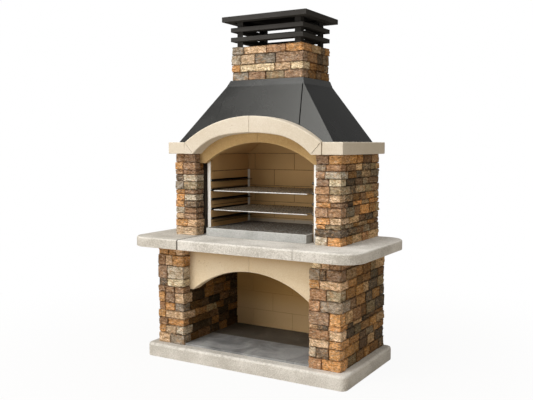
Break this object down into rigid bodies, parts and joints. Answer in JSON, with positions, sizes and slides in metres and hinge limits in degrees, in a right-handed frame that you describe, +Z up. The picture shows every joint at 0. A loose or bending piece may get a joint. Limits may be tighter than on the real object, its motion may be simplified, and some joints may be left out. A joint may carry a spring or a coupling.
{
  "type": "masonry barbecue",
  "caption": "Free-standing masonry barbecue with stone-faced piers, arched wood store, worktop, firebox with sliding wire grills, metal hood and capped chimney.",
  "frame": {"origin": "bottom centre of the whole object, on the ground", "axes": "+Z up, -Y the open front, X along the width"},
  "size_m": [1.676, 0.898, 2.302],
  "materials": {
    "cast_concrete": "pale cast concrete with a fine grain",
    "slate": "dark grey slate",
    "split_stone": "split stones in browns, orange, grey and tan",
    "block_core": "plain grey blockwork",
    "firebrick": "tan firebrick",
    "cream_stone": "cream cast stone",
    "hearth_stone": "grey hearth stone",
    "anthracite_sheet": "matt anthracite paint",
    "dark_steel": "heat-darkened steel",
    "bright_steel": "bright steel",
    "grill_chrome": "bright chromed wire"
  },
  "bodies": {
    "masonry": {"base_plinth": "cast_concrete", "cap_plate": "anthracite_sheet", "cap_posts": "anthracite_sheet", "cap_slats_lower": "anthracite_sheet", "cap_slats_upper": "anthracite_sheet", "capital_left": "cream_stone", "capital_right": "cream_stone", "chimney_core": "block_core", "chimney_stones": "split_stone", "floor_front": "slate", "floor_rear": "slate", "front_arch_left": "cream_stone", "front_arch_right": "cream_stone", "front_post_left": "bright_steel", "front_post_right": "bright_steel", "hearth_slab": "hearth_stone", "hood_back": "anthracite_sheet", "hood_collar": "anthracite_sheet", "hood_front": "anthracite_sheet", "hood_side_left": "anthracite_sheet", "hood_side_right": "anthracite_sheet", "inner_arch_left": "cream_stone", "inner_arch_right": "cream_stone", "lining_back": "firebrick", "lining_left": "firebrick", "lining_right": "firebrick", "lower_arch_left": "cream_stone", "lower_arch_right": "cream_stone", "lower_back_wall": "firebrick", "lower_core_left": "block_core", "lower_core_right": "block_core", "lower_stones_left": "split_stone", "lower_stones_right": "split_stone", "rail_bolts": "bright_steel", "rails_left": "dark_steel", "rails_right": "dark_steel", "rear_post_left": "bright_steel", "rear_post_right": "bright_steel", "springer_left": "cream_stone", "springer_right": "cream_stone", "throat_back": "firebrick", "throat_left": "firebrick", "throat_right": "firebrick", "upper_core_left": "block_core", "upper_core_right": "block_core", "upper_stones_left": "split_stone", "upper_stones_right": "split_stone", "worktop_centre": "cast_concrete", "worktop_left": "cast_concrete", "worktop_right": "cast_concrete"},
    "upper_grill": {"grill_upper": "grill_chrome"},
    "lower_grill": {"grill_lower": "grill_chrome"}
  },
  "joints": [
    {"name": "upper_grill_slide", "type": "slide", "parent": "masonry", "child": "upper_grill", "axis": [0, -1, 0], "range_m": [0, 0.28]},
    {"name": "lower_grill_slide", "type": "slide", "parent": "masonry", "child": "lower_grill", "axis": [0, -1, 0], "range_m": [0, 0.28]}
  ]
}
